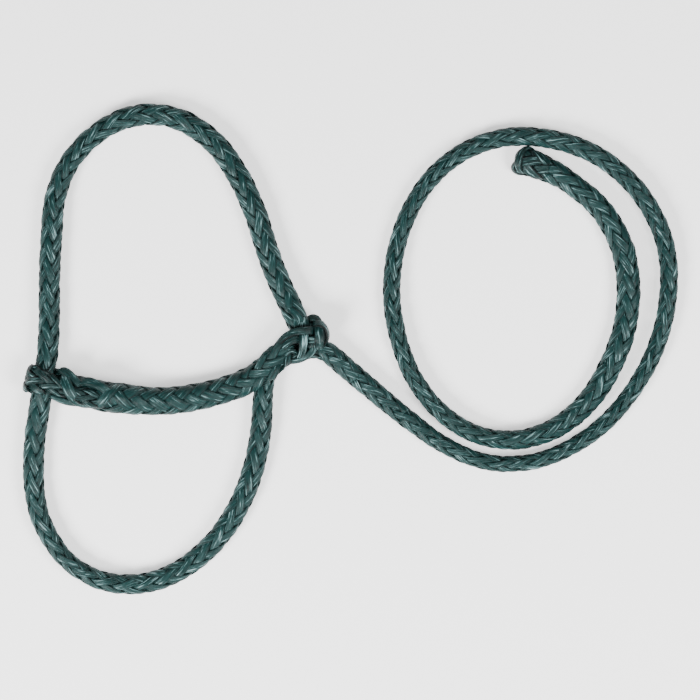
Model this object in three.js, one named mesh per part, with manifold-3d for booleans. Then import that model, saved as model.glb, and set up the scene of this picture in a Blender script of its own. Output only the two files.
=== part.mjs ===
// Adjustable rope halter for sheep and goats, laid flat: one length of hollow braided cord whose
// fixed nose band ends in an eye (left) and a braided-through keeper (right). The cord runs from
// the keeper over the poll as the crown, down through the eye, under the jaw as the chin rope,
// back through the keeper, and away as the lead, which lies in a loose spiral.
// Millimetres, +Z up. The origin is on the table under the middle of the halter without its lead.

import * as THREE from 'three';
import { mergeVertices } from 'three/addons/utils/BufferGeometryUtils.js';
import Module from 'manifold-3d';

const wasm = await Module();
wasm.setup();

// Driving dimensions
const CORD_RADIUS = 5;          // 10 mm hollow braid at its working size
const CROWN_RADIUS = 5.3;       // the crown is a little bunched, so a little thicker
const BAND_RADIUS = 6.5;        // nose band, opened out by bunching
const PASS_RADIUS = 4.8;        // the cord where an eye grips it
const LEAD_END_RADIUS = 6.2;    // last stretch of the lead, turned back inside itself
const FLAT_WALL = 3.2;          // flattened braid wrapped round another cord
const GAP = 0.35;               // clearance between touching pieces
const BEND_GAP = 0.5;           // clearance at a stretch where the cord bends as a joint
const SIDES = 12;               // sides of a cord's section
const STEP = 13;                // length of one step along a cord
const TIGHT_STEP = 7;           // the same inside the eye and the keeper

// Where the halter's stretches bend, as joint centres
const CROWN_LEFT = [-72, -3, 7];
const CROWN_RIGHT = [66, 20, 7];
const CHIN_LEFT = [-76, -30, 6];
const CHIN_RIGHT = [48.5, -26, 6];
const LEAD_LIFT = [89, -5, 5];
const LEAD_SWING = [113, -25.4, 5];

// Routes of the cord, along its centre
const CROWN_ROUTE = [
  CROWN_LEFT, [-71, 17, 5.6], [-71, 40, 5.3], [-70, 62, 5.3], [-68, 84, 5.3],
  [-60, 104.5, 5.3], [-44, 121.5, 5.3], [-23, 131, 5.3], [0, 129.5, 5.3], [20, 117, 5.3],
  [34, 98.5, 5.3], [44, 77, 5.3], [51, 55, 5.3], [58, 37, 5.6], CROWN_RIGHT,
];
const CHIN_ROUTE = [
  CHIN_LEFT, [-79, -48, 5], [-80, -68, 5], [-78, -88, 5], [-71, -105, 5], [-59, -120, 5],
  [-41, -129.5, 5], [-20, -131, 5], [0, -124.5, 5], [19, -110, 5], [33, -91, 5],
  [42, -70, 5], [47, -48, 5], CHIN_RIGHT,
];
const BAND_ROUTE = [
  [-35.5, -26.5, 6.6], [-28, -27.5, 6.5], [-14, -28.8, 6.5], [2, -28, 6.5],
  [18, -25, 6.5], [30, -21.5, 6.5], [39, -18, 6.8],
];
const LEAD_ROUTE = [
  LEAD_SWING, [131, -40, 5], [151, -54, 5], [174, -63, 5], [198, -63, 5], [220, -55, 5],
  [241, -40, 5], [258, -19, 5], [269.5, 4, 5], [275, 28, 5], [275, 52, 5], [268, 74, 5],
  [254, 94, 5], [234, 109.5, 5], [209, 118, 5], [185, 119, 5], [162, 111.5, 5],
  [143, 96.5, 5], [130, 76.5, 5], [122.5, 54, 5], [120.5, 30, 5], [124, 7, 5],
  [133, -16, 5], [148, -35, 5], [168, -47.5, 5], [190, -50.5, 5], [211, -44.5, 5],
  [229, -30.5, 5], [242, -11, 5], [250.5, 11, 5], [253, 34, 5], [249.5, 57, 5],
  [238, 78, 5], [221, 93, 5],
];
const LEAD_END_ROUTE = [[220, 93.7, 6.2], [208, 100.6, 6.2], [192, 106.8, 6.2]];
const CHEEK_PASS_ROUTE = [[-73, -8.8, 7.6], [-74.4, -16.5, 8], [-75.6, -24.3, 7.6]];
const KEEPER_PASS_ROUTE = [
  [48.8, -20.2, 6.4], [50.5, -14, 7.4], [57, -6, 8.4], [65, 0.5, 8.6], [73, 3.2, 8.4],
  [79, 2.2, 7], [84.4, -1.3, 5.6],
];
const KEEPER_SLEEVE_ROUTE = [[52.5, -11.5, 8.1], [57, -6, 8.4], [65, 0.5, 8.6], [72.5, 3.1, 8.4]];

// Colours of the dyed polypropylene, from the open braid to the pinched places
const COLOUR_BRAID = 0x375553;
const COLOUR_WORN = 0x456866;
const COLOUR_SHADED = 0x24403f;

const halter = new THREE.Group();

function cordMaterial(colour, roughness) {
  return new THREE.MeshStandardMaterial({ color: colour, roughness, metalness: 0 });
}

function addPart(parent, name, geometry, colour = COLOUR_BRAID, roughness = 0.5) {
  const mesh = new THREE.Mesh(geometry, cordMaterial(colour, roughness));
  mesh.name = name;
  parent.add(mesh);
  return mesh;
}

// Closed geometry to solid, and back
function solidOf(geometry) {
  const bare = geometry.clone();
  bare.deleteAttribute('normal');
  bare.deleteAttribute('uv');
  const merged = mergeVertices(bare, 1e-4);
  return new wasm.Manifold(new wasm.Mesh({
    numProp: 3,
    vertProperties: new Float32Array(merged.attributes.position.array),
    triVerts: new Uint32Array(merged.index.array),
  }));
}

function geometryOf(solid) {
  const mesh = solid.getMesh();
  const geometry = new THREE.BufferGeometry();
  geometry.setAttribute('position', new THREE.BufferAttribute(mesh.vertProperties, 3));
  geometry.setIndex(new THREE.BufferAttribute(mesh.triVerts, 1));
  geometry.computeVertexNormals();
  return geometry;
}

function cutBy(geometry, ...cutters) {
  const left = cutters.reduce((solid, cutter) => solid.subtract(solidOf(cutter)), solidOf(geometry));
  const [largest] = left.decompose().sort((a, b) => b.volume() - a.volume());
  return geometryOf(largest);
}

// A round cord of the given radius along a smooth route
function cordTube(route, radius, step = STEP) {
  const points = route.map(([x, y, z]) => new THREE.Vector3(x, y, z));
  const path = new THREE.CatmullRomCurve3(points, false, 'centripetal');
  const section = new THREE.Shape();
  for (let side = 0; side < SIDES; side += 1) {
    const angle = (2 * Math.PI * side) / SIDES;
    const corner = [radius * Math.cos(angle), radius * Math.sin(angle)];
    if (side === 0) section.moveTo(...corner);
    else section.lineTo(...corner);
  }
  const steps = Math.max(2, Math.round(path.getLength() / step));
  return new THREE.ExtrudeGeometry(section, { steps, curveSegments: 1, extrudePath: path });
}

// The same cord with a round end at each named joint centre, so that it can turn there
function jointedCord(route, radius, ...centres) {
  const joined = centres.reduce(
    (solid, centre) => solid.add(solidOf(ball(radius, centre))),
    solidOf(cordTube(route, radius)),
  );
  return geometryOf(joined);
}

// An egg-shaped lump of braid with the given half sizes, turned about Z
function lobe({ centre, half, turn }, grow = 0) {
  return new THREE.SphereGeometry(1, SIDES, SIDES - 4)
    .rotateX(Math.PI / 2)
    .scale(...half.map((size) => size + grow))
    .rotateZ(turn)
    .translate(...centre);
}

function ball(radius, centre) {
  return new THREE.SphereGeometry(radius, SIDES, SIDES).translate(...centre);
}

// Flattened braid that wraps the cheek rope: an oval ring whose hole follows the cord
const EYE_CENTRE = [-74.4, -16.5, 8];
const EYE_HALF_WIDTH = 11.2;
const EYE_HALF_HEIGHT = 7.9;
const EYE_LENGTH = 13.6;
const EYE_TURN = Math.atan2(-3, 16);   // the cheek rope leans this much from +Y
const EYE_NECK = { centre: [-61.4, -13.4, 6.5], half: [4.8, 5.4, 5.6], turn: -0.6 };
const TAIL_CROSSING = { centre: [-50, -26.6, 12], half: [8.6, 4.8, 4.6], turn: -0.2 };

function eyeRing(grow = 0) {
  const depth = EYE_LENGTH + 2 * grow;
  const outline = new THREE.Shape();
  outline.absellipse(0, 0, EYE_HALF_WIDTH + grow, EYE_HALF_HEIGHT + grow, 0, 2 * Math.PI, false);
  const block = new THREE.ExtrudeGeometry(outline, { depth, curveSegments: 24, bevelEnabled: false })
    .translate(0, 0, -depth / 2)
    .rotateX(Math.PI / 2)
    .rotateZ(EYE_TURN)
    .translate(...EYE_CENTRE);
  return grow > 0 ? block : cutBy(block, cordTube(CHEEK_PASS_ROUTE, PASS_RADIUS + GAP, TIGHT_STEP));
}

// The swollen stretch of nose band that the eye's tail is buried in
const SLEEVE_START = [-60.8, -20.2, 8.2];
const SLEEVE_END = [-36, -26.4, 6.6];
const SLEEVE_PROFILE = [[0, 5.2], [0.12, 7], [0.4, 8.1], [0.7, 7.7], [1, 6.5]];

function spliceSleeve(grow = 0) {
  const start = new THREE.Vector3(...SLEEVE_START);
  const along = new THREE.Vector3(...SLEEVE_END).sub(start);
  const length = along.length();
  const profile = SLEEVE_PROFILE.map(([t, radius]) => new THREE.Vector2(radius + grow, t * length));
  profile[0].y -= grow;
  profile.at(-1).y += grow;
  profile.unshift(new THREE.Vector2(0, profile[0].y));
  profile.push(new THREE.Vector2(0, profile.at(-1).y));
  const upright = new THREE.Vector3(0, 1, 0);
  const turn = new THREE.Quaternion().setFromUnitVectors(upright, along.normalize());
  return new THREE.LatheGeometry(profile, SIDES).applyQuaternion(turn).translate(...SLEEVE_START);
}

// Nose band: an open tube of braid with the eye's tail buried in its left part
const TAIL_RADIUS = 3.6;
const TAIL_ROUTE = [[-34.8, -26.7, 6.6], [-28, -27.5, 6.5], [-19, -28.4, 6.5]];

function noseBand(grow = 0) {
  const wall = cordTube(BAND_ROUTE, BAND_RADIUS + grow);
  return grow > 0 ? wall : cutBy(wall, cordTube([SLEEVE_END, ...TAIL_ROUTE], TAIL_RADIUS + GAP));
}

function buildNoseBand(parent) {
  addPart(parent, 'nose_band', noseBand());
  addPart(parent, 'nose_band_buried_tail', cordTube(TAIL_ROUTE, TAIL_RADIUS), COLOUR_SHADED, 0.6);
}

function buildEye(parent) {
  const cheekPass = cordTube(CHEEK_PASS_ROUTE, PASS_RADIUS, TIGHT_STEP);
  const neck = lobe(EYE_NECK);
  const tailCrossing = lobe(TAIL_CROSSING);
  addPart(parent, 'eye_cheek_pass', cheekPass, COLOUR_SHADED);
  addPart(parent, 'eye_loop', eyeRing(), COLOUR_WORN);
  addPart(parent, 'eye_neck', cutBy(neck, eyeRing(GAP), spliceSleeve(GAP)));
  addPart(parent, 'eye_splice_sleeve', cutBy(spliceSleeve(), eyeRing(GAP), noseBand(GAP)));
  addPart(parent, 'eye_tail_crossing', cutBy(tailCrossing, spliceSleeve(GAP)), COLOUR_WORN);
}

// Keeper: the band passed through the crown's braid, gripping the cord that becomes the lead
const NECK_ROUTE = [[40.6, -17, 7.4], [44, -13.5, 8], [47.5, -8.5, 8.4]];
const NECK_RADIUS = 6;
const ARCH_ROUTE = [[52, -6, 9], [55, 1.6, 9.6], [59.6, 6.6, 9.8], [66, 9.2, 9.6]];
const ARCH_RADIUS = 4;
const PLAIT = { centre: [73.6, 9.4, 10.6], half: [7.2, 6.6, 6.4], turn: -0.4 };
const RIGHT_LOBE = { centre: [81.4, 8.6, 8.6], half: [4.4, 7, 6.4], turn: -0.2 };
const LOWER_LOBE = { centre: [74.4, -4.6, 7.4], half: [5.6, 4.6, 5.8], turn: -0.5 };

function keeperArch(grow = 0) {
  return cordTube(ARCH_ROUTE, ARCH_RADIUS + grow, TIGHT_STEP);
}

function keeperSleeve(grow = 0) {
  const wall = cordTube(KEEPER_SLEEVE_ROUTE, PASS_RADIUS + GAP + FLAT_WALL + grow, TIGHT_STEP);
  return grow > 0 ? wall : cutBy(wall, cordTube(KEEPER_PASS_ROUTE, PASS_RADIUS + GAP, TIGHT_STEP));
}

function buildKeeper(parent) {
  const passRoom = cordTube(KEEPER_PASS_ROUTE, PASS_RADIUS + GAP, TIGHT_STEP);
  const sleeveRoom = keeperSleeve(GAP);
  const plaitRoom = lobe(PLAIT, GAP);
  const neck = cutBy(cordTube(NECK_ROUTE, NECK_RADIUS, TIGHT_STEP), sleeveRoom, passRoom, noseBand(GAP));
  const arch = cutBy(keeperArch(), sleeveRoom, passRoom, plaitRoom);
  const plait = cutBy(lobe(PLAIT), sleeveRoom, passRoom);
  const rightLobe = cutBy(lobe(RIGHT_LOBE), plaitRoom, sleeveRoom, passRoom);
  const lowerLobe = cutBy(lobe(LOWER_LOBE), sleeveRoom, passRoom, keeperArch(GAP));
  addPart(parent, 'keeper_pass', cordTube(KEEPER_PASS_ROUTE, PASS_RADIUS, TIGHT_STEP), COLOUR_SHADED);
  addPart(parent, 'keeper_sleeve', keeperSleeve());
  addPart(parent, 'keeper_neck', neck);
  addPart(parent, 'keeper_arch', arch, COLOUR_WORN);
  addPart(parent, 'keeper_plait', plait, COLOUR_WORN);
  addPart(parent, 'keeper_right_lobe', rightLobe);
  addPart(parent, 'keeper_lower_lobe', lowerLobe);
}

// The lead's first stretch, from the keeper to where it swings
function leadRoot() {
  const swingRoom = ball(CORD_RADIUS + BEND_GAP, LEAD_SWING);
  return cutBy(jointedCord([LEAD_LIFT, LEAD_SWING], CORD_RADIUS, LEAD_LIFT), swingRoom);
}

buildNoseBand(halter);
buildEye(halter);
buildKeeper(halter);
addPart(halter, 'crown_rope', jointedCord(CROWN_ROUTE, CROWN_RADIUS, CROWN_LEFT, CROWN_RIGHT));
addPart(halter, 'chin_rope', jointedCord(CHIN_ROUTE, CORD_RADIUS, CHIN_LEFT, CHIN_RIGHT));
addPart(halter, 'lead_root', leadRoot());
addPart(halter, 'lead_rope', jointedCord(LEAD_ROUTE, CORD_RADIUS, LEAD_SWING));
addPart(halter, 'lead_end', cordTube(LEAD_END_ROUTE, LEAD_END_RADIUS), COLOUR_WORN);

export default halter;
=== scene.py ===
"""Rope halter for sheep and goats: the looks of the hollow braid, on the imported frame.

Metres, +Z up. The halter lies flat on a pale table and is seen from straight above.
Every stretch of cord is a real braid: six strands wind each way round a hollow middle, each
passing over two and under two of the others.
"""
import bpy
import numpy as np
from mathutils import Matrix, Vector


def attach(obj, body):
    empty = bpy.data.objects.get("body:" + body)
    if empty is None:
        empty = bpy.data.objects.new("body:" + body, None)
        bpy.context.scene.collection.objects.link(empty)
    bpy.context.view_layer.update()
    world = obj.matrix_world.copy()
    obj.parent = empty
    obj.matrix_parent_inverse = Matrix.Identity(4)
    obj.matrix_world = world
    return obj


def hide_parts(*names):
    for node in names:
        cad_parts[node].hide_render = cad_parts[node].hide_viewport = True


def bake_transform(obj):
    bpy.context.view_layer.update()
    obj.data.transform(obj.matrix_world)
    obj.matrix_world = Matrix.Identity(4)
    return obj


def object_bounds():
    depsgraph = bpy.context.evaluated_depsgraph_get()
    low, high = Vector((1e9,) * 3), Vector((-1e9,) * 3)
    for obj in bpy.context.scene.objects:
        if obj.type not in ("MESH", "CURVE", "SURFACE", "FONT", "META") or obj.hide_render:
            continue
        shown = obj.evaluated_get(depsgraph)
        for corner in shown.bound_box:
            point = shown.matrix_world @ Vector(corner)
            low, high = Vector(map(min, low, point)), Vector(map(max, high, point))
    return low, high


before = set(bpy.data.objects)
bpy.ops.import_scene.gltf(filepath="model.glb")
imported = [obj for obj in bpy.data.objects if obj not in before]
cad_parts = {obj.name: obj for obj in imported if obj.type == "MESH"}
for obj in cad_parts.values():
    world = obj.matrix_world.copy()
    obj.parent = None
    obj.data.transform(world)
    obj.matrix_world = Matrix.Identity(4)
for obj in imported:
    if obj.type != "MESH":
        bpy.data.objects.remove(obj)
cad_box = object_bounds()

MM = 0.001
SEED = 11

# ---------------------------------------------------------------- camera

VIEW_WIDTH = 0.393        # what the picture is wide, at the table
VIEW_SHIFT = Vector((0.0001, -0.0004, 0))  # from the part's middle to the picture's
LENS = 135                # a long lens, as for a flat lay
SENSOR = 36

scene = bpy.context.scene
low, high = (Vector(corner) for corner in cad_box)


def add_camera():
    data = bpy.data.cameras.new("camera")
    data.lens = LENS
    data.sensor_width = SENSOR
    camera = bpy.data.objects.new("camera", data)
    middle = (low + high) / 2
    camera.location = middle + VIEW_SHIFT
    camera.location.z = VIEW_WIDTH * LENS / SENSOR
    scene.collection.objects.link(camera)
    scene.camera = camera


add_camera()

# ---------------------------------------------------------------- routes, as in the part

# Millimetres, as are all places and sizes down to the table that don't say metres
CORD_RADIUS = 5.0
CROWN_RADIUS = 5.3

CROWN_LEFT = (-72, -3, 7)
CROWN_RIGHT = (66, 20, 7)
CHIN_LEFT = (-76, -30, 6)
CHIN_RIGHT = (48.5, -26, 6)
LEAD_LIFT = (89, -5, 5)
LEAD_SWING = (113, -25.4, 5)

CROWN_ROUTE = [
    CROWN_LEFT, (-71, 17, 5.6), (-71, 40, 5.3), (-70, 62, 5.3), (-68, 84, 5.3),
    (-60, 104.5, 5.3), (-44, 121.5, 5.3), (-23, 131, 5.3), (0, 129.5, 5.3), (20, 117, 5.3),
    (34, 98.5, 5.3), (44, 77, 5.3), (51, 55, 5.3), (58, 37, 5.6), CROWN_RIGHT,
]
CHIN_ROUTE = [
    CHIN_LEFT, (-79, -48, 5), (-80, -68, 5), (-78, -88, 5), (-71, -105, 5), (-59, -120, 5),
    (-41, -129.5, 5), (-20, -131, 5), (0, -124.5, 5), (19, -110, 5), (33, -91, 5),
    (42, -70, 5), (47, -48, 5), CHIN_RIGHT,
]
BAND_ROUTE = [
    (-35.5, -26.5, 6.6), (-28, -27.5, 6.5), (-14, -28.8, 6.5), (2, -28, 6.5),
    (18, -25, 6.5), (30, -21.5, 6.5), (39, -18, 6.8),
]
LEAD_ROUTE = [
    LEAD_SWING, (131, -40, 5), (151, -54, 5), (174, -63, 5), (198, -63, 5), (220, -55, 5),
    (241, -40, 5), (258, -19, 5), (269.5, 4, 5), (275, 28, 5), (275, 52, 5), (268, 74, 5),
    (254, 94, 5), (234, 109.5, 5), (209, 118, 5), (185, 119, 5), (162, 111.5, 5),
    (143, 96.5, 5), (130, 76.5, 5), (122.5, 54, 5), (120.5, 30, 5), (124, 7, 5),
    (133, -16, 5), (148, -35, 5), (168, -47.5, 5), (190, -50.5, 5), (211, -44.5, 5),
    (229, -30.5, 5), (242, -11, 5), (250.5, 11, 5), (253, 34, 5), (249.5, 57, 5),
    (238, 78, 5), (221, 93, 5),
]
LEAD_END_ROUTE = [(208, 100.6, 5), (192.5, 106.6, 5)]
CHEEK_PASS_ROUTE = [(-73, -8.8, 7.6), (-74.4, -16.5, 8), (-75.6, -24.3, 7.6)]
KEEPER_PASS_ROUTE = [
    (49.6, -19.6, 6.4), (51.6, -12.6, 6.8), (57, -6.6, 7), (64.4, -2.4, 7), (72, -0.4, 6.8),
    (79, 0.9, 6.2), (84.4, -1.2, 5.4),
]

# ---------------------------------------------------------------- curves

SPACING = 0.4             # mm between the points of a smooth line


def unit(vectors):
    """The vectors at length 1."""
    return vectors / np.linalg.norm(vectors, axis=-1, keepdims=True)


def run_along(points):
    """Distance along a line to each of its points."""
    steps = np.linalg.norm(np.diff(points[:, :3], axis=0), axis=1)
    return np.concatenate([[0], np.cumsum(steps)])


def evenly(points, spacing):
    """The same line with its points at even distances."""
    run = run_along(points)
    places = np.linspace(0, run[-1], max(2, round(run[-1] / spacing) + 1))
    return np.column_stack([np.interp(places, run, column) for column in points.T])


def soften(points, width):
    """Gaussian smoothing along the line, `width` points wide; the ends stay where they are."""
    reach = min(int(3 * width), len(points) - 1)
    kernel = np.exp(-0.5 * (np.arange(-reach, reach + 1) / width) ** 2)
    kernel /= kernel.sum()
    head = 2 * points[0] - points[1:reach + 1][::-1]
    tail = 2 * points[-1] - points[-reach - 1:-1][::-1]
    padded = np.vstack([head, points, tail])
    return np.column_stack([np.convolve(column, kernel, "valid") for column in padded.T])


def smooth_line(stations, softness=3.0):
    """Points every SPACING mm on a smooth curve through the stations, whatever else they hold."""
    knots = np.array(stations, float)
    knots = np.vstack([2 * knots[0] - knots[1], knots, 2 * knots[-1] - knots[-2]])
    pieces = []
    for before, start, end, after in zip(knots, knots[1:], knots[2:], knots[3:]):
        count = max(4, int(np.linalg.norm((end - start)[:3]) / SPACING))
        t = np.linspace(0, 1, count, endpoint=False)[:, None]
        pieces.append(0.5 * (
            2 * start + (end - before) * t
            + (2 * before - 5 * start + 4 * end - after) * t ** 2
            + (3 * start - before - 3 * end + after) * t ** 3
        ))
    points = evenly(np.vstack(pieces + [knots[-2][None]]), SPACING)
    return evenly(soften(points, softness / SPACING), SPACING)


def wander(rng, count, step, reach):
    """A smooth random line of `count` values with unit spread, turning every `reach` mm."""
    knots = max(4, int(count * step / reach) + 3)
    values = rng.normal(size=knots)
    x = np.linspace(0, knots - 1, count)
    left = np.clip(x.astype(int), 0, knots - 2)
    t = x - left
    t = t * t * (3 - 2 * t)
    return values[left] * (1 - t) + values[left + 1] * t


# ---------------------------------------------------------------- mesh building


class MeshMaker:
    """Collects closed ribbons, with a texture map and a tone for each strand."""

    def __init__(self):
        self.points, self.faces, self.maps, self.tones, self.count = [], [], [], [], 0

    def add_rings(self, rings, tone, along):
        """rings is (n, m, 3): n rings of m points. The ends are closed with flat caps."""
        n, m, _ = rings.shape
        index = self.count + np.arange(n * m).reshape(n, m)
        here, there = index[:-1], index[1:]
        quads = np.stack([here, np.roll(here, -1, 1), np.roll(there, -1, 1), there], axis=-1)
        quads = quads.reshape(-1, 4)
        u0 = np.broadcast_to(np.arange(m) / m, (n - 1, m))
        u1 = u0 + 1 / m
        v0 = np.broadcast_to(along[:-1, None], (n - 1, m))
        v1 = np.broadcast_to(along[1:, None], (n - 1, m))
        corners = np.stack([
            np.stack([u0, v0], -1), np.stack([u1, v0], -1),
            np.stack([u1, v1], -1), np.stack([u0, v1], -1),
        ], axis=2).reshape(-1, 2)
        caps = [index[0][::-1].tolist(), index[-1].tolist()]
        self.points.append(rings.reshape(-1, 3))
        self.faces.append((quads, caps))
        self.maps.append((corners, m))
        self.tones.append(np.full(n * m, tone))
        self.count += n * m

    def build(self, name, material):
        """The mesh object. Strands are shaded smooth, and the caps at their ends flat."""
        points = np.vstack(self.points) * MM
        faces, smooth, corners = [], [], []
        for (quads, caps), (maps, m) in zip(self.faces, self.maps):
            faces += quads.tolist() + caps
            smooth += [True] * len(quads) + [False] * len(caps)
            corners.append(maps)
            corners.append(np.zeros((2 * m, 2)))
        mesh = bpy.data.meshes.new(name)
        mesh.from_pydata(points.tolist(), [], faces)
        layer = mesh.uv_layers.new(name="strand")
        layer.data.foreach_set("uv", np.vstack(corners).ravel())
        tone = mesh.attributes.new("tone", "FLOAT", "POINT")
        tone.data.foreach_set("value", np.concatenate(self.tones))
        mesh.polygons.foreach_set("use_smooth", smooth)
        mesh.materials.append(material)
        piece = bpy.data.objects.new(name, mesh)
        scene.collection.objects.link(piece)
        return piece


# A strand's section: a flat bundle with soft edges and a few lengthwise ridges
SECTION_POINTS = 18
YARNS = 3                 # yarns side by side in one strand
GROOVE = 0.22             # depth of the grooves between them, of the half thickness
BLUNT = 0.8               # 1 makes the section an ellipse, and less squares it off
STREAK_SCALE = 0.105      # texture length for a mm of cord
STREAK_SHIFT = 40         # keeps one strand's streaks from matching the next one's


def strand_section():
    """Half width and half thickness of a strand, with grooves between its yarns."""
    angle = 2 * np.pi * (np.arange(SECTION_POINTS) + 0.5) / SECTION_POINTS
    across, up = np.cos(angle), np.sin(angle)
    across = np.sign(across) * np.abs(across) ** BLUNT
    groove = GROOVE * np.sin(np.pi * YARNS * (across + 1) / 2) ** 2
    up = np.sign(up) * np.abs(up) ** BLUNT * (1 - GROOVE + groove)
    return across, up


def add_strand(maker, centre, outward, widths, thicks, tone, run, depth=0.0):
    """A flat bundle of filaments along `centre`, its flat side facing `outward`.

    `run` is where each point is along the cord, and `depth` is how much further the bundle
    goes on the side that faces away.
    """
    ahead = unit(np.gradient(centre, axis=0))
    side = unit(np.cross(ahead, outward))
    face = np.cross(side, ahead)
    across, up = strand_section()
    rings = (
        centre[:, None, :]
        + side[:, None, :] * (across[None, :, None] * widths[:, None, None] / 2)
        + face[:, None, :] * (up[None, :, None] * thicks[:, None, None] / 2)
        + face[:, None, :] * (np.minimum(up, 0)[:, None] * depth)
    )
    maker.add_rings(rings, tone, run * STREAK_SCALE + tone * STREAK_SHIFT)


# ---------------------------------------------------------------- hollow braid

STRANDS = 6               # strands each way round
LAY = 72.0                # mm along the cord for one turn of a strand
STRAND_THICK = 1.7
FILL = 1.1                # a strand's width for the room it has
RISE = 0.72               # how far a strand rises to pass over another, and dips to pass under
PLATEAU = 1.7             # how flat a strand runs between its crossings
INSIDE = RISE + STRAND_THICK / 2
LEAST_WIDE = 0.5          # the least half width and half height of the braid's middle line
LEAST_HIGH = 0.3
STRAY, STRAY_REACH = 0.05, 28   # how far a strand strays round the cord, in radians, and over what
SWELL, SWELL_REACH = 0.06, 20   # how much a strand's size varies, and over what length
EVEN_OUT = 0.3            # sets strands evenly round a cord that is wider than it is high
RING_STEP = 1.5           # between the rings of points along a strand
LEAST_RINGS = 8
PATH_STEP = 4.0           # between the points of a cord's stated path


def stretch(route, *sizes, radius=None):
    """Stations of a cord: x, y, z, half width, half height, twist.

    sizes are (place along the route from 0 to 1, half width, half height, twist in degrees).
    A cord that lies on the table where its solid has `radius` is set down by its own height.
    """
    points = np.array(route, float)
    place = np.linspace(0, 1, len(points))
    knots = np.array(sizes, float)
    rest = np.column_stack([np.interp(place, knots[:, 0], column) for column in knots.T[1:]])
    if radius:
        points[:, 2] += rest[:, 1] - radius
    return np.column_stack([points, rest])


class Braid:
    """A hollow braid along stations: six strands each way, over two and under two.

    sideways is the way across the cord that its angles start from, level where it isn't given.
    lay is the length of one turn, and tone makes the whole braid lighter, or darker below 0.
    """

    def __init__(self, stations, sideways=None, seed=0, lay=LAY, tone=0.0):
        table = smooth_line(stations)
        self.line = table[:, :3]
        self.half_width, self.half_height = table[:, 3], table[:, 4]
        self.twist = np.radians(table[:, 5])
        self.run = run_along(table)
        ahead = unit(np.gradient(self.line, axis=0))
        if sideways is None:
            side = np.cross([0, 0, 1.0], ahead)
        else:
            sideways = np.array(sideways, float)
            side = sideways - ahead * (ahead @ sideways)[:, None]
        self.side = unit(side)
        self.up = np.cross(ahead, self.side)
        self.seed, self.lay, self.tone = seed, lay, tone

    def nearest(self, point):
        """The distance along the cord of its place nearest to a point."""
        gap = np.linalg.norm(self.line - np.array(point, float), axis=1)
        return self.run[np.argmin(gap)]

    def at(self, places, values):
        """Values that go with the cord's points, at any places along it."""
        if values.ndim == 1:
            return np.interp(places, self.run, values)
        return np.column_stack([np.interp(places, self.run, column) for column in values.T])

    def path(self, start, end):
        """The middle line between two places, in metres."""
        return self.at(np.arange(start, end, PATH_STEP), self.line) * MM

    def add_to(self, maker, start=0.0, end=None, step=RING_STEP):
        """All the strands, from one place along the cord to another."""
        end = self.run[-1] if end is None else end
        places = np.linspace(start, end, max(LEAST_RINGS, int((end - start) / step)))
        for way in (1, -1):
            for number in range(STRANDS):
                self.add_one(maker, places, way, number)

    def add_one(self, maker, places, way, number):
        """One strand, winding one way round."""
        def at(values):
            return self.at(places, values)

        rng = np.random.default_rng([SEED, self.seed, way + 1, number])
        whole = len(self.run)
        stray = at(STRAY * wander(rng, whole, SPACING, STRAY_REACH))
        swell = at(1 + SWELL * wander(rng, whole, SPACING, SWELL_REACH))
        wide = np.maximum(at(self.half_width) - INSIDE, LEAST_WIDE)
        high = np.maximum(at(self.half_height) - INSIDE, LEAST_HIGH)

        # Each strand passes over two and under two: it rises three times in a turn
        angle = way * 2 * np.pi * places / self.lay + 2 * np.pi * number / STRANDS + stray
        wave = np.cos(STRANDS / 2 * angle - np.pi / 4)
        lift = way * RISE * np.tanh(PLATEAU * wave) / np.tanh(PLATEAU)
        angle = angle + at(self.twist)
        angle = angle + EVEN_OUT * (wide - high) / (wide + high) * np.sin(2 * angle)

        side, up = at(self.side), at(self.up)
        across, above = np.cos(angle)[:, None], np.sin(angle)[:, None]
        outward = unit(side * across / wide[:, None] + up * above / high[:, None])
        centre = at(self.line) + side * across * wide[:, None]
        centre = centre + up * above * high[:, None] + outward * lift[:, None]

        # A strand fills its share of the way round, at the slant that it has there
        girth = np.pi * (3 * (wide + high) - np.sqrt((3 * wide + high) * (wide + 3 * high)))
        girth = girth + np.pi * lift
        slant = np.arctan2(girth, self.lay)
        widths = girth / STRANDS * np.cos(slant) * FILL * swell
        tone = rng.uniform(0, 1) + self.tone
        add_strand(maker, centre, outward, widths, STRAND_THICK * swell, tone, places)


BUNDLE_SOFTNESS = 1.0
BUNDLE_SKIP = 3           # a ring at every third point of the smooth line
BUNDLE_SWELL, BUNDLE_SWELL_REACH = 0.05, 9
TAPER = 3                 # the length at each end where a bundle thins out
END_THICK = 0.4           # how thick it is at the very end, for its full thickness


def add_bundle(maker, route, outward, tone=0.5, depth=0.0):
    """One strand that has left its braid: x, y, z and width at each point of its route.

    outward is the way its flat side faces at each point, and depth how far the strands bunch
    up beneath it.
    """
    stations = np.column_stack([np.array(route, float), np.array(outward, float)])
    table = smooth_line(stations, BUNDLE_SOFTNESS)[::BUNDLE_SKIP]
    line, widths, facing = table[:, :3], table[:, 3], unit(table[:, 4:])
    rng = np.random.default_rng([SEED, maker.count])
    swell = wander(rng, len(line), SPACING * BUNDLE_SKIP, BUNDLE_SWELL_REACH)
    widths = widths * (1 + BUNDLE_SWELL * swell)
    run = run_along(line)
    to_end = np.clip(np.minimum(run, run[-1] - run) / TAPER, 0, 1)
    thicks = STRAND_THICK * (END_THICK + (1 - END_THICK) * to_end)
    add_strand(maker, line, facing, widths, thicks, tone, run, depth)


# ---------------------------------------------------------------- materials

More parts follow.
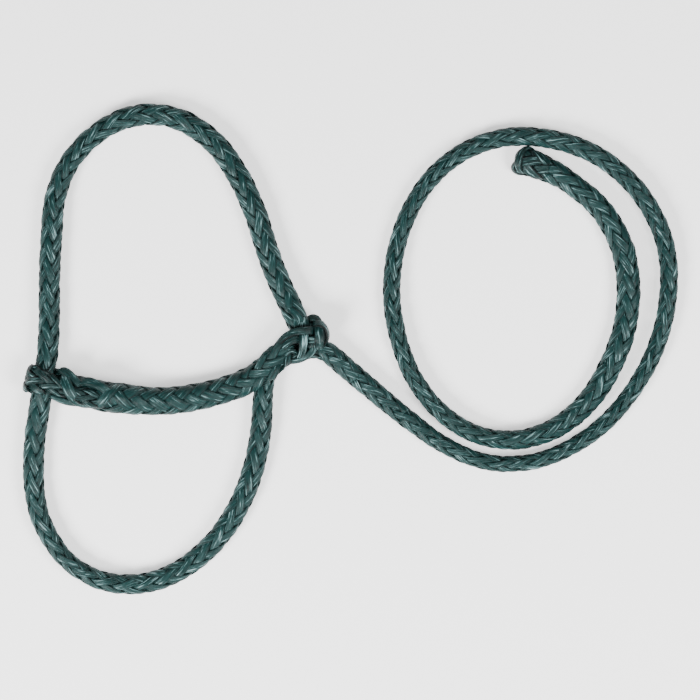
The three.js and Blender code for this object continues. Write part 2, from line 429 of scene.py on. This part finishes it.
SHINE = 0.17
FINE_STREAKS = dict(across=52, along=1.6, detail=3.0)
BROAD_STREAKS = dict(across=17, along=1.0, detail=1.0)
BROAD_SHARE = 1.35        # of the broad streaks, next to the fine ones
TONE_SHARE = 0.12
EDGE_SHADE_SHARPNESS = 9        # how narrow the painted shade along a strand's edges is
DARKEST, LIGHTEST = 0.4, 1.62   # the levels that the colour ramp runs between
# The top stop of the colour ramp is a painted highlight: pale glints on the filaments
DARK_AT, LIGHT_AT, PAINTED_GLINT_AT = 0.3, 0.8, 0.98
SATIN_FROM, SATIN_TO = 0.6, 1.2  # the streak levels between which roughness changes
SMOOTHER, ROUGHER = 0.08, 0.1
RIDGE_HEIGHT = 0.0004     # metres
RIDGE_STRENGTH = 0.8


def add_node(tree, kind, **inputs):
    node = tree.nodes.new(kind)
    for name, value in inputs.items():
        node.inputs[name.replace("_", " ")].default_value = value
    return node


def add_math(tree, operation, first, value):
    """A node that works on the output `first` and a number, as operation says."""
    node = tree.nodes.new("ShaderNodeMath")
    node.operation = operation
    node.inputs[1].default_value = value
    tree.links.new(first, node.inputs[0])
    return node.outputs[0]


def add_share(tree, first, second, share):
    """first + share * second"""
    node = tree.nodes.new("ShaderNodeMath")
    node.operation = "MULTIPLY_ADD"
    node.inputs[1].default_value = share
    tree.links.new(second, node.inputs[0])
    tree.links.new(first, node.inputs[2])
    return node.outputs[0]


def add_strand_map(tree):
    """Where a point is on its strand: round the section, and along the cord."""
    where = tree.nodes.new("ShaderNodeUVMap")
    where.uv_map = "strand"
    return where.outputs["UV"]


def add_streaks(tree, across, along, detail):
    """Noise drawn out along the strand."""
    scaled = add_node(tree, "ShaderNodeMapping", Scale=(across, along, 1))
    noise = add_node(tree, "ShaderNodeTexNoise", Scale=1.0, Detail=detail, Roughness=0.6)
    tree.links.new(add_strand_map(tree), scaled.inputs["Vector"])
    tree.links.new(scaled.outputs["Vector"], noise.inputs["Vector"])
    return noise.outputs["Fac"]


def add_painted_edge_shade(tree):
    """Painted shade: 1 along both edges of a strand, where it meets the next, and 0 over most of
    its width.
    """
    parts = tree.nodes.new("ShaderNodeSeparateXYZ")
    tree.links.new(add_strand_map(tree), parts.inputs["Vector"])
    turned = add_math(tree, "MULTIPLY", parts.outputs["X"], 2 * np.pi)
    cosine = add_math(tree, "COSINE", turned, 0)
    return add_math(tree, "POWER", add_math(tree, "ABSOLUTE", cosine, 0), EDGE_SHADE_SHARPNESS)


def braid_material(name, dark, light, painted_glint, roughness, painted_edge_shade):
    """Dyed polypropylene filaments: streaks along each strand, a tone for each strand.
    Painted highlights at the lightest streaks, and painted shade along the strands' edges.

    edge is how much darker the painted shade makes the strands' edges.
    """
    material = bpy.data.materials.new(name)
    material.use_nodes = True
    tree = material.node_tree
    link = tree.links.new
    shader = tree.nodes["Principled BSDF"]
    shader.inputs["Specular IOR Level"].default_value = SHINE

    tone = tree.nodes.new("ShaderNodeAttribute")
    tone.attribute_name = "tone"
    fine = add_streaks(tree, **FINE_STREAKS)
    filaments = add_share(tree, fine, add_streaks(tree, **BROAD_STREAKS), BROAD_SHARE)
    level = add_share(tree, filaments, tone.outputs["Fac"], TONE_SHARE)
    # painted shade: each strand darker along its edges, where it meets the next
    level = add_share(tree, level, add_painted_edge_shade(tree), -painted_edge_shade)

    colours = tree.nodes.new("ShaderNodeValToRGB")
    ramp = colours.color_ramp.elements
    ramp[0].position = DARK_AT
    ramp[0].color = (*dark, 1)
    # painted highlight: a pale glint colour at the top of the ramp
    ramp[1].position = PAINTED_GLINT_AT
    ramp[1].color = (*painted_glint, 1)
    middle = ramp.new(LIGHT_AT)
    middle.color = (*light, 1)
    levelled = add_node(tree, "ShaderNodeMapRange", From_Min=DARKEST, From_Max=LIGHTEST)
    link(level, levelled.inputs["Value"])
    link(levelled.outputs["Result"], colours.inputs["Fac"])
    link(colours.outputs["Color"], shader.inputs["Base Color"])

    gloss = add_node(tree, "ShaderNodeMapRange", From_Min=SATIN_FROM, From_Max=SATIN_TO,
                     To_Min=roughness - SMOOTHER, To_Max=roughness + ROUGHER)
    link(filaments, gloss.inputs["Value"])
    link(gloss.outputs["Result"], shader.inputs["Roughness"])

    bump = add_node(tree, "ShaderNodeBump", Strength=RIDGE_STRENGTH, Distance=RIDGE_HEIGHT)
    link(filaments, bump.inputs["Height"])
    link(bump.outputs["Normal"], shader.inputs["Normal"])
    return material


# In each material the glint colour is a painted highlight, and edge sets the painted shade along
# the strands' edges
MATERIALS = {
    "braid": braid_material(
        "braid", dark=(0.0013, 0.0073, 0.007), light=(0.0073, 0.0349, 0.0337),
        painted_glint=(0.18, 0.3, 0.305), roughness=0.34, painted_edge_shade=0.35,
    ),
    "braid_flattened": braid_material(
        "braid_flattened", dark=(0.0004, 0.0026, 0.0025), light=(0.0052, 0.0248, 0.0239),
        painted_glint=(0.23, 0.391, 0.397), roughness=0.3, painted_edge_shade=0.6,
    ),
    "braid_gripped": braid_material(
        "braid_gripped", dark=(0.0005, 0.003, 0.0028), light=(0.0034, 0.0168, 0.0158),
        painted_glint=(0.05, 0.1, 0.1), roughness=0.4, painted_edge_shade=0.55,
    ),
}

# ---------------------------------------------------------------- the running cord

# One cord runs from the keeper over the poll, through the eye, under the jaw, back through the
# keeper and away as the lead. It is one braid, cut into pieces where the joints need it.
INTO_KEEPER = [(77, 3.4, 7), (72.4, 7.6, 8.8), (68.6, 13.4, 9)]

RUNNING = Braid(np.vstack([
    stretch(INTO_KEEPER, (0, 5.0, 4.0, 75), (1, 6.0, 4.6, 75)),
    stretch(CROWN_ROUTE[::-1], (0, 6.5, 4.9, 75), (0.25, 6.5, 4.9, 75), (0.45, 6.3, 4.8, 60),
            (0.6, 5.7, 4.7, 20), (0.75, 6.2, 4.9, 15), (1, 6.1, 4.9, 15), radius=CROWN_RADIUS),
    stretch(CHEEK_PASS_ROUTE, (0, 5.7, 4.6, 15), (0.5, 5.9, 4.6, 15), (1, 5.7, 4.6, 15)),
    stretch(CHIN_ROUTE, (0, 6.1, 4.9, 15), (0.12, 6.1, 4.7, 15), (0.25, 5.6, 4.6, 15),
            (0.38, 5.1, 4.5, 15), (0.5, 5.7, 4.5, 15), (0.7, 6.1, 4.6, 15),
            (0.9, 6.2, 4.6, 15), (1, 5.8, 4.9, 15), radius=CORD_RADIUS),
    stretch(KEEPER_PASS_ROUTE, (0, 5.2, 4.7, 15), (0.5, 5.2, 4.2, 15), (1, 5.8, 4.6, 15)),
    stretch([LEAD_LIFT] + LEAD_ROUTE + LEAD_END_ROUTE, (0, 6.0, 4.8, 15), (0.04, 5.6, 4.6, 15),
            (0.1, 4.7, 4.3, 15), (0.2, 4.8, 4.2, 15), (0.3, 5.3, 4.4, 15),
            (0.42, 5.5, 4.5, 15), (0.5, 5.1, 4.3, 15), (0.68, 5.1, 4.4, 15),
            (0.74, 5.8, 4.6, 15), (0.8, 6.7, 4.9, 15), (0.9, 6.7, 5.0, 15),
            (0.95, 6.3, 5.0, 15), (1, 8.2, 5.2, 15), radius=CORD_RADIUS),
]), seed=1)

IN_EYE = RUNNING.nearest(CHEEK_PASS_ROUTE[1])
INTO_PASS = RUNNING.nearest(KEEPER_PASS_ROUTE[1])
OUT_OF_PASS = RUNNING.nearest(KEEPER_PASS_ROUTE[5])
LEAD_START = (Vector(LEAD_LIFT) + Vector(LEAD_SWING)) / 2
LEAD_AWAY = (Vector(LEAD_SWING) - Vector(LEAD_LIFT)).normalized()
ON_LEAD_START = RUNNING.nearest(LEAD_START)
PAST_SWING = RUNNING.nearest(LEAD_SWING) + 18   # past where the lead bends as it swings
ON_LEAD_END = RUNNING.nearest(LEAD_END_ROUTE[0])


def braid_piece(name, slot, nodes, braid, start=0.0, end=None, step=RING_STEP):
    """A length of braid that takes the place of the CAD nodes it names."""
    maker = MeshMaker()
    braid.add_to(maker, start, end, step)
    piece = maker.build(name, MATERIALS[slot])
    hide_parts(*nodes)
    return piece


def bend_at(piece, joint, away):
    """Bake a piece's placing, at a joint. away, the way from the fixed body into the moving one,
    is not used.

    Nothing bends: the joint is only turned into metres, and the piece's placing is baked into its
    mesh.
    """
    joint = Vector(joint) * MM
    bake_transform(piece)


def across(left, right):
    """The level direction across a hinge line, to the left of it."""
    line = Vector(right) - Vector(left)
    return Vector((-line.y, line.x, 0)).normalized()


def make_crown():
    """Over the poll, from the keeper to the eye."""
    piece = braid_piece("crown_braid", "braid", ["crown_rope"], RUNNING, 0, IN_EYE)
    bend_at(piece, CROWN_LEFT, across(CROWN_LEFT, CROWN_RIGHT))


def make_chin():
    """Under the jaw, from the eye back to the keeper."""
    piece = braid_piece("chin_braid", "braid", ["chin_rope"], RUNNING, IN_EYE, INTO_PASS)
    bend_at(piece, CHIN_LEFT, -across(CHIN_LEFT, CHIN_RIGHT))


def make_keeper_pass():
    """Through the keeper, gripped by its strands.

    It replaces the node inside the eye as well, where the crown's braid runs on as the chin's.
    """
    piece = braid_piece(
        "keeper_pass_braid", "braid_gripped", ["keeper_pass", "eye_cheek_pass"],
        RUNNING, INTO_PASS, OUT_OF_PASS,
    )
    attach(piece, "halter")


def make_lead_start():
    """Out of the keeper, as far as half way between the two joints, past where it lifts."""
    piece = braid_piece(
        "lead_start_braid", "braid", ["lead_root"], RUNNING, OUT_OF_PASS, ON_LEAD_START
    )
    bend_at(piece, LEAD_LIFT, LEAD_AWAY)
    return piece


def make_lead_bend():
    """The short stretch where the lead swings."""
    piece = braid_piece("lead_bend_braid", "braid", [], RUNNING, ON_LEAD_START, PAST_SWING)
    bend_at(piece, LEAD_SWING, LEAD_AWAY)
    return piece


LEAD_STEP = 2.0           # wider where the cord turns gently, and closer where it turns tightly
BAND_STEP = 1.2
EYE_STEP = 0.9


def make_lead():
    """The free cord: it lies in a flat spiral, and ends in the turned-back tube."""
    piece = braid_piece(
        "lead_braid", "braid", ["lead_rope"], RUNNING, PAST_SWING, ON_LEAD_END, LEAD_STEP
    )
    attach(piece, "lead")
    path = RUNNING.path(PAST_SWING, ON_LEAD_END)
    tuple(path[0])
    make_lead_start()
    make_lead_bend()
    make_lead_end()


def make_lead_end():
    """The braid widens to its end, where the tube is turned back into itself."""
    maker = MeshMaker()
    RUNNING.add_to(maker, ON_LEAD_END)
    add_bundle(maker, [
        (200, 111.6, 4, 3.4), (197.4, 113, 7, 3.8), (194, 111.6, 9.4, 4.2),
        (191.8, 108, 10.4, 4.4), (190.8, 104.4, 10, 4.4), (191.2, 101, 8.6, 4.2),
        (193.6, 99, 6, 3.8), (197, 98.6, 3.6, 3.4),
    ], [
        (0.3, 0.9, 0), (0.1, 0.9, 0.4), (-0.4, 0.6, 0.7), (-0.6, 0.3, 0.8), (-0.6, 0, 0.8),
        (-0.6, -0.4, 0.7), (-0.3, -0.9, 0.4), (0.2, -0.9, 0),
    ], tone=0.3)
    add_bundle(maker, [
        (198.6, 112.8, 3, 4), (194.4, 112.6, 3.4, 4.6), (190.9, 109.6, 4.4, 5),
        (190.2, 105.4, 5, 4.6), (188.1, 101.8, 4.6, 5), (190.6, 98.7, 3.8, 5),
        (195, 97.8, 2.8, 4),
    ], [
        (0.2, 0.9, -0.1), (-0.4, 0.8, 0.1), (-0.8, 0.5, 0.2), (-1, 0, 0.2), (-0.9, -0.4, 0.2),
        (-0.4, -0.9, 0), (0.2, -0.9, -0.1),
    ], tone=0.5, depth=2)
    piece = maker.build("lead_end_braid", MATERIALS["braid_flattened"])
    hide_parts("lead_end")
    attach(piece, "lead")
    return piece


# ---------------------------------------------------------------- nose band and eye

BAND_SIDEWAYS = (-0.26, -1, 0)  # level, and across the band
BAND_LAY = 60.0           # shorter, because the band is squeezed along its length
BAND_TONE = -0.5          # and its strands look darker

# The other end of the cord: buried tail, eye, and nose band as far as the keeper
FIXED = Braid(np.vstack([
    stretch([(-24, -28, 6.8), (-34, -27.4, 8.4)], (0, 3.6, 3.4, 0), (1, 4.2, 3.2, 0)),
    stretch([(-42, -27.6, 11), (-49, -26.6, 13), (-55, -25, 13), (-60, -23.3, 12.8)],
            (0, 5.0, 3.2, 0), (0.5, 5.4, 3.0, 0), (1, 3.8, 2.6, 0)),
    stretch([(-64, -21.6, 13.2), (-69, -19.4, 14.5), (-75, -17.4, 14.8), (-80, -16.1, 13.1)],
            (0, 4.4, 2.4, 0), (0.35, 6.0, 2.2, 0), (0.7, 7.4, 2.2, 0), (1, 7.7, 2.3, 0)),
    stretch([(-83.3, -15.6, 8.4), (-80.8, -15.4, 3.9), (-75, -15.4, 2.3)],
            (0, 7.6, 2.4, 0), (1, 6.8, 2.3, 0)),
    stretch([(-68, -17.4, 2.9), (-62, -20, 4.4), (-56, -22, 5.4), (-49, -24, 6.0)],
            (0, 7.2, 2.6, 0), (0.5, 7.4, 4.4, 0), (1, 8.2, 5.6, 0)),
    stretch([(-42, -26, 7.2)] + BAND_ROUTE, (0, 8.8, 7.3, 0), (0.25, 8.6, 7.0, 30),
            (0.4, 8.0, 6.6, 30), (0.8, 7.6, 6.2, 30), (1, 7.6, 6.0, 30)),
    stretch([(46, -13.6, 9.6), (51.8, -9.2, 12), (56.4, -4.4, 12.6), (60.4, 0.4, 12),
             (64.4, 3.6, 10)],
            (0, 7.6, 4.6, 30), (0.4, 8.0, 3.4, 30), (0.7, 6.6, 3.0, 30), (1, 5.0, 2.6, 30)),
]), sideways=BAND_SIDEWAYS, seed=2, lay=BAND_LAY, tone=BAND_TONE)

EYE_ENDS = FIXED.nearest((-58, -18.4, 5))


def make_eye():
    """The cord's buried tail and the eye that it forms round the running cord."""
    piece = braid_piece(
        "eye_braid", "braid_flattened", ["eye_loop", "eye_tail_crossing"],
        FIXED, 0, EYE_ENDS, EYE_STEP,
    )
    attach(piece, "halter")


def make_nose_band():
    """Over the nose, thick at the eye where the tail lies inside it."""
    piece = braid_piece(
        "nose_band_braid", "braid",
        ["nose_band", "nose_band_buried_tail", "eye_splice_sleeve", "keeper_neck"],
        FIXED, EYE_ENDS, step=BAND_STEP,
    )
    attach(piece, "halter")


UP = (0, 0, 1)
DOWN = (0, 0, -1)


def bundle_piece(name, slot, nodes, bundles):
    """Strands of a knot, one dict for each, in the place of the CAD nodes they name."""
    maker = MeshMaker()
    for bundle in bundles:
        add_bundle(maker, **bundle)
    piece = maker.build(name, MATERIALS[slot])
    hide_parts(*nodes)
    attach(piece, "halter")


def make_eye_strands():
    """Strands of the nose band that part round the tucked tail."""
    bundle_piece("eye_strands", "braid", ["eye_neck"], [
        dict(route=[(-67, -13.6, 5, 4.4), (-65.8, -11.8, 9.4, 4.4), (-62.4, -11.4, 12, 4.6),
                    (-59, -13.6, 13, 4.8), (-56, -16.8, 13, 4.8), (-53.2, -20, 12.4, 4.6),
                    (-50, -23, 10.6, 4.4)],
             outward=[(-0.3, 1, 0.2), (-0.1, 1, 0.6), (0.1, 0.6, 0.8), (0.3, 0.4, 0.9),
                      (0.3, 0.3, 0.9), (0.2, 0.2, 1), UP], tone=0.1, depth=2.6),
        dict(route=[(-63.4, -12.4, 7, 5), (-62, -15.2, 13.2, 6), (-60.2, -19.8, 15.6, 6.6),
                    (-58, -24.4, 15.6, 6.4), (-55, -28.4, 13.4, 6), (-50.8, -31.2, 9.6, 5.6),
                    (-46, -31.6, 6, 4.6)],
             outward=[(-0.4, 0.6, 0.4), (-0.1, 0.2, 1), UP, UP, (0, -0.4, 0.9), (0, -0.8, 0.5),
                      (0, -0.9, 0.4)], tone=0.8, depth=3.2),
        dict(route=[(-56.6, -22, 8, 4.2), (-53.2, -18.6, 11.4, 4.8), (-50, -17.4, 13, 5),
                    (-46.6, -18, 13.8, 5.2), (-42.4, -19.8, 14.2, 5.2), (-38, -22.6, 14.4, 5),
                    (-34, -25.6, 12.6, 4.4)],
             outward=[(-0.3, 0.8, 0.6), (-0.1, 0.8, 0.6), (0, 0.5, 0.9), (0.1, 0.4, 0.9),
                      (0.1, 0.3, 1), UP, UP], tone=0.2, depth=4.0),
        dict(route=[(-46.6, -32.2, 7, 4.6), (-43, -31, 12.4, 5.4), (-39.4, -27.2, 14.8, 5.8),
                    (-35.8, -22.8, 14.2, 5.6), (-32.6, -20.2, 10.8, 4.8), (-30.6, -19.8, 7, 3.6)],
             outward=[(-0.2, -0.9, 0.4), (-0.1, -0.5, 0.8), UP, (0.1, 0.4, 0.9),
                      (0.1, 0.9, 0.4), (0.1, 1, 0.1)], tone=0.6, depth=2.4),
        dict(route=[(-72, -25.6, 5, 4), (-67, -27.4, 7.4, 4.6), (-62.6, -29, 8.2, 5),
                    (-58, -30, 8, 5), (-52, -30.4, 8.6, 5), (-45, -31.6, 8, 4.6),
                    (-38, -31.6, 7, 3.6)],
             outward=[(0, -0.9, 0.4), (0, -0.8, 0.6), (0, -0.8, 0.6), (0, -0.8, 0.6),
                      (0, -0.8, 0.6), (0, -0.9, 0.5), (0, -0.9, 0.4)], tone=0.5, depth=2.4),
    ])


# ---------------------------------------------------------------- keeper


def make_keeper():
    """Strands of the nose band passed through the crown's, round the running cord."""
    bundle_piece("keeper_arch_strands", "braid_flattened", ["keeper_arch", "keeper_sleeve"], [
        dict(route=[(51, -9.2, 7.6, 3.6), (52.6, -4.8, 10, 3.8), (55.6, 1, 12.6, 4),
                    (58.6, 5.2, 14, 4), (61.8, 7.9, 14.8, 4.2), (66.1, 9.7, 15.4, 4.4),
                    (71.1, 10.5, 16.4, 4.7), (75, 10.7, 15.6, 4.7), (78, 10.6, 13, 4.4)],
             outward=[(-0.9, 0.4, 0.2), (-0.8, 0.5, 0.4), (-0.6, 0.5, 0.7), (-0.4, 0.5, 0.8),
                      (-0.2, 0.4, 0.9), (0, 0.2, 1), UP, UP, UP], tone=0.2, depth=4.5),
        dict(route=[(54.8, -7, 11, 3), (58, -1.4, 13.2, 3.4), (61, 2.4, 14, 3.6),
                    (64, 4.6, 14.2, 4), (67.8, 5.6, 13.8, 4.2), (71.1, 5.7, 13, 4.6),
                    (75, 5.3, 14.6, 4.8), (79, 5.3, 14.6, 4.8), (81.4, 5.3, 12, 4.4)],
             outward=[(-0.4, 0.2, 0.9), (-0.3, 0.2, 0.9), (-0.1, 0.1, 1), UP, UP, UP, UP, UP,
                      (0.4, 0, 1)], tone=0.6, depth=4),
        dict(route=[(59.6, -6.6, 12, 3), (61.6, -2.4, 13.2, 3.4), (64.2, -0.6, 12.8, 3.4),
                    (66.8, -1.2, 11.4, 3), (68.6, -3, 9.6, 2.6)],
             outward=[UP, UP, UP, UP, UP], tone=0.3, depth=4),
        dict(route=[(49, -13, 4.4, 4), (56, -7.8, 2.4, 5.4), (63, -3.8, 1.8, 6),
                    (70, -1.6, 1.8, 6), (76, 0.8, 2.6, 5.4), (80.6, 4.4, 5, 4.6)],
             outward=[DOWN, DOWN, DOWN, DOWN, DOWN, (0.5, 0, -0.9)], tone=0.4, depth=1.4),
        dict(route=[(66, 10, 5, 4.6), (68.6, 5, 2, 5.4), (71.4, 0, 1.6, 5.4),
                    (72.6, -3.4, 2.6, 4.6), (72.8, -5, 5, 4)],
             outward=[(0, 0.5, -0.9), DOWN, DOWN, DOWN, (0, -0.9, -0.4)], tone=0.7, depth=1.4),
    ])
    bundle_piece("keeper_front_strands", "braid_flattened", ["keeper_plait"], [
        # painted highlight: this strand's tone of 1.5, above the others', lightens it for the
        # light that its flat top catches
        dict(route=[(72, 18.6, 9.6, 4), (71.8, 15.4, 12.6, 4.8), (71.5, 10.8, 13.2, 5),
                    (71.4, 6.2, 15.6, 5.2), (71.2, 1.6, 15.8, 5), (70.4, -2, 14, 4.2),
                    (69, -4.6, 10.6, 3.4), (67.6, -6, 6, 3)],
             outward=[(0, 0.4, 1), UP, UP, UP, UP, (0, -0.4, 1), (-0.1, -0.8, 0.7), (0, -1, 0)],
             tone=1.5, depth=2.4),
        dict(route=[(76.4, 16, 9, 4), (76, 13.6, 12.4, 4.4), (75.8, 10.8, 12.4, 4.4),
                    (75.6, 5.6, 12.8, 4.6), (75.8, 1.6, 13.6, 4.4), (76, -0.6, 12, 4)],
             outward=[(0, 0.6, 1), UP, UP, UP, UP, (0, -0.4, 1)], tone=0.3, depth=3),
    ])
    bundle_piece("keeper_right_strand", "braid_flattened", ["keeper_right_lobe"], [
        dict(route=[(79, 16.4, 8.4, 4.4), (79.4, 14.6, 12.6, 5), (79.9, 11.2, 15.4, 5.2),
                    (80.2, 6.6, 16, 5.2), (80.2, 3, 15, 5), (79.8, 1, 12, 4.6),
                    (79.6, 0.2, 8, 4.4)],
             outward=[(0, 1, 0.4), (0, 0.7, 0.8), UP, UP, (0, -0.3, 1), (0, -0.8, 0.6),
                      (0, -1, 0.2)], tone=0.4, depth=2.4),
        dict(route=[(76.6, 14.6, 13.2, 4.6), (80.2, 14.8, 13.8, 5), (83, 13, 13.2, 5.4),
                    (84.6, 9.6, 12.2, 5.6), (84.7, 6, 11.2, 5.6), (83.2, 3, 10.2, 5.4),
                    (80.6, 1.2, 8.4, 5)],
             outward=[(0, 0.6, 0.8), (0.2, 0.7, 0.7), (0.7, 0.6, 0.4), (1, 0.2, 0.3),
                      (1, -0.2, 0.2), (0.8, -0.6, 0.1), (0.4, -0.9, 0)], tone=0.3, depth=1.6),
        dict(route=[(80, 15, 6.6, 5), (82, 11, 8.4, 5.4), (82.6, 6, 8, 5.4), (81, 2, 6, 5)],
             outward=[UP, UP, UP, UP], tone=0.0),
        dict(route=[(73.4, 15.4, 8.4, 4), (74, 17, 10, 4.6), (76, 17.8, 11, 5),
                    (78.4, 17.4, 10.8, 5), (80, 15.6, 10, 4.6), (81.2, 13.4, 8, 4)],
             outward=[(-0.6, 0.5, 0.9), (-0.3, 0.6, 0.9), (0, 0.6, 0.9), (0.2, 0.6, 0.9),
                      (0.5, 0.4, 0.9), (0.6, 0.2, 0.8)], tone=0.2, depth=2.4),
        dict(route=[(74, 12, 8, 6), (77, 14, 8.6, 6), (80, 12, 8, 6), (80, 7, 8, 6)],
             outward=[UP, UP, UP, UP], tone=0.0),
    ])
    bundle_piece("keeper_lower_strand", "braid", ["keeper_lower_lobe"], [
        dict(route=[(77.4, 3.4, 12.2, 3.6), (76.8, 0.4, 12.8, 4), (75.2, -2, 12.4, 4),
                    (72.2, -4.4, 11.2, 4), (68.6, -6, 10, 4), (64.8, -6.6, 8.6, 4),
                    (61, -6.8, 7, 3.6)],
             outward=[UP, (0.2, -0.1, 1), (0.4, -0.4, 0.8), (0.3, -0.6, 0.7), (0, -0.7, 0.7),
                      (0, -0.7, 0.7), (0, -0.6, 0.8)], tone=0.45, depth=2.4),
        dict(route=[(61.8, 24.4, 9, 3.6), (65.2, 21.4, 11.4, 4.4), (68.6, 18, 12.4, 4.6),
                    (69.6, 15, 12.6, 4.6), (67.8, 12.6, 12.2, 4.2), (65.4, 11.6, 11, 3.6)],
             outward=[UP, UP, UP, UP, UP, (-0.2, 0, 1)], tone=0.6, depth=3),
    ])


make_crown()
make_chin()
make_keeper_pass()
make_lead()
make_eye()
make_nose_band()
make_eye_strands()
make_keeper()

# ---------------------------------------------------------------- table and light

TABLE_REACH = 3.0         # metres, from its middle to its edge
TABLE_GAP = 0.0003        # the table is just clear of the part
TABLE_COLOUR = (0.9, 0.9, 0.9, 1)
TABLE_ROUGHNESS = 0.9
TABLE_GLOW = 0.8          # lit from beneath as well, so shadows on it are faint
WHITE = (1, 1, 1, 1)


def add_table():
    side = TABLE_REACH
    mesh = bpy.data.meshes.new("table")
    corners = [(-side, -side, 0), (side, -side, 0), (side, side, 0), (-side, side, 0)]
    mesh.from_pydata(corners, [], [(0, 1, 2, 3)])
    table = bpy.data.objects.new("table", mesh)
    table.location.z = -TABLE_GAP
    material = bpy.data.materials.new("table")
    material.use_nodes = True
    shader = material.node_tree.nodes["Principled BSDF"]
    shader.inputs["Base Color"].default_value = TABLE_COLOUR
    shader.inputs["Roughness"].default_value = TABLE_ROUGHNESS
    shader.inputs["Emission Color"].default_value = WHITE
    shader.inputs["Emission Strength"].default_value = TABLE_GLOW
    mesh.materials.append(material)
    scene.collection.objects.link(table)


def add_light(name, place, size, watts):
    data = bpy.data.lights.new(name, "AREA")
    data.shape = "SQUARE"
    data.size = size
    data.energy = watts
    light = bpy.data.objects.new(name, data)
    light.location = place
    aim = (low + high) / 2 - Vector(place)
    light.rotation_euler = aim.to_track_quat("-Z", "Y").to_euler()
    scene.collection.objects.link(light)


def add_sky(strength):
    world = bpy.data.worlds.new("studio")
    world.use_nodes = True
    background = world.node_tree.nodes["Background"]
    background.inputs["Color"].default_value = WHITE
    background.inputs["Strength"].default_value = strength
    scene.world = world


add_table()
add_sky(strength=0.3)
add_light("key", place=(-0.9, -0.9, 1.0), size=0.6, watts=66)
add_light("fill", place=(1.0, -0.5, 1.1), size=0.7, watts=36)
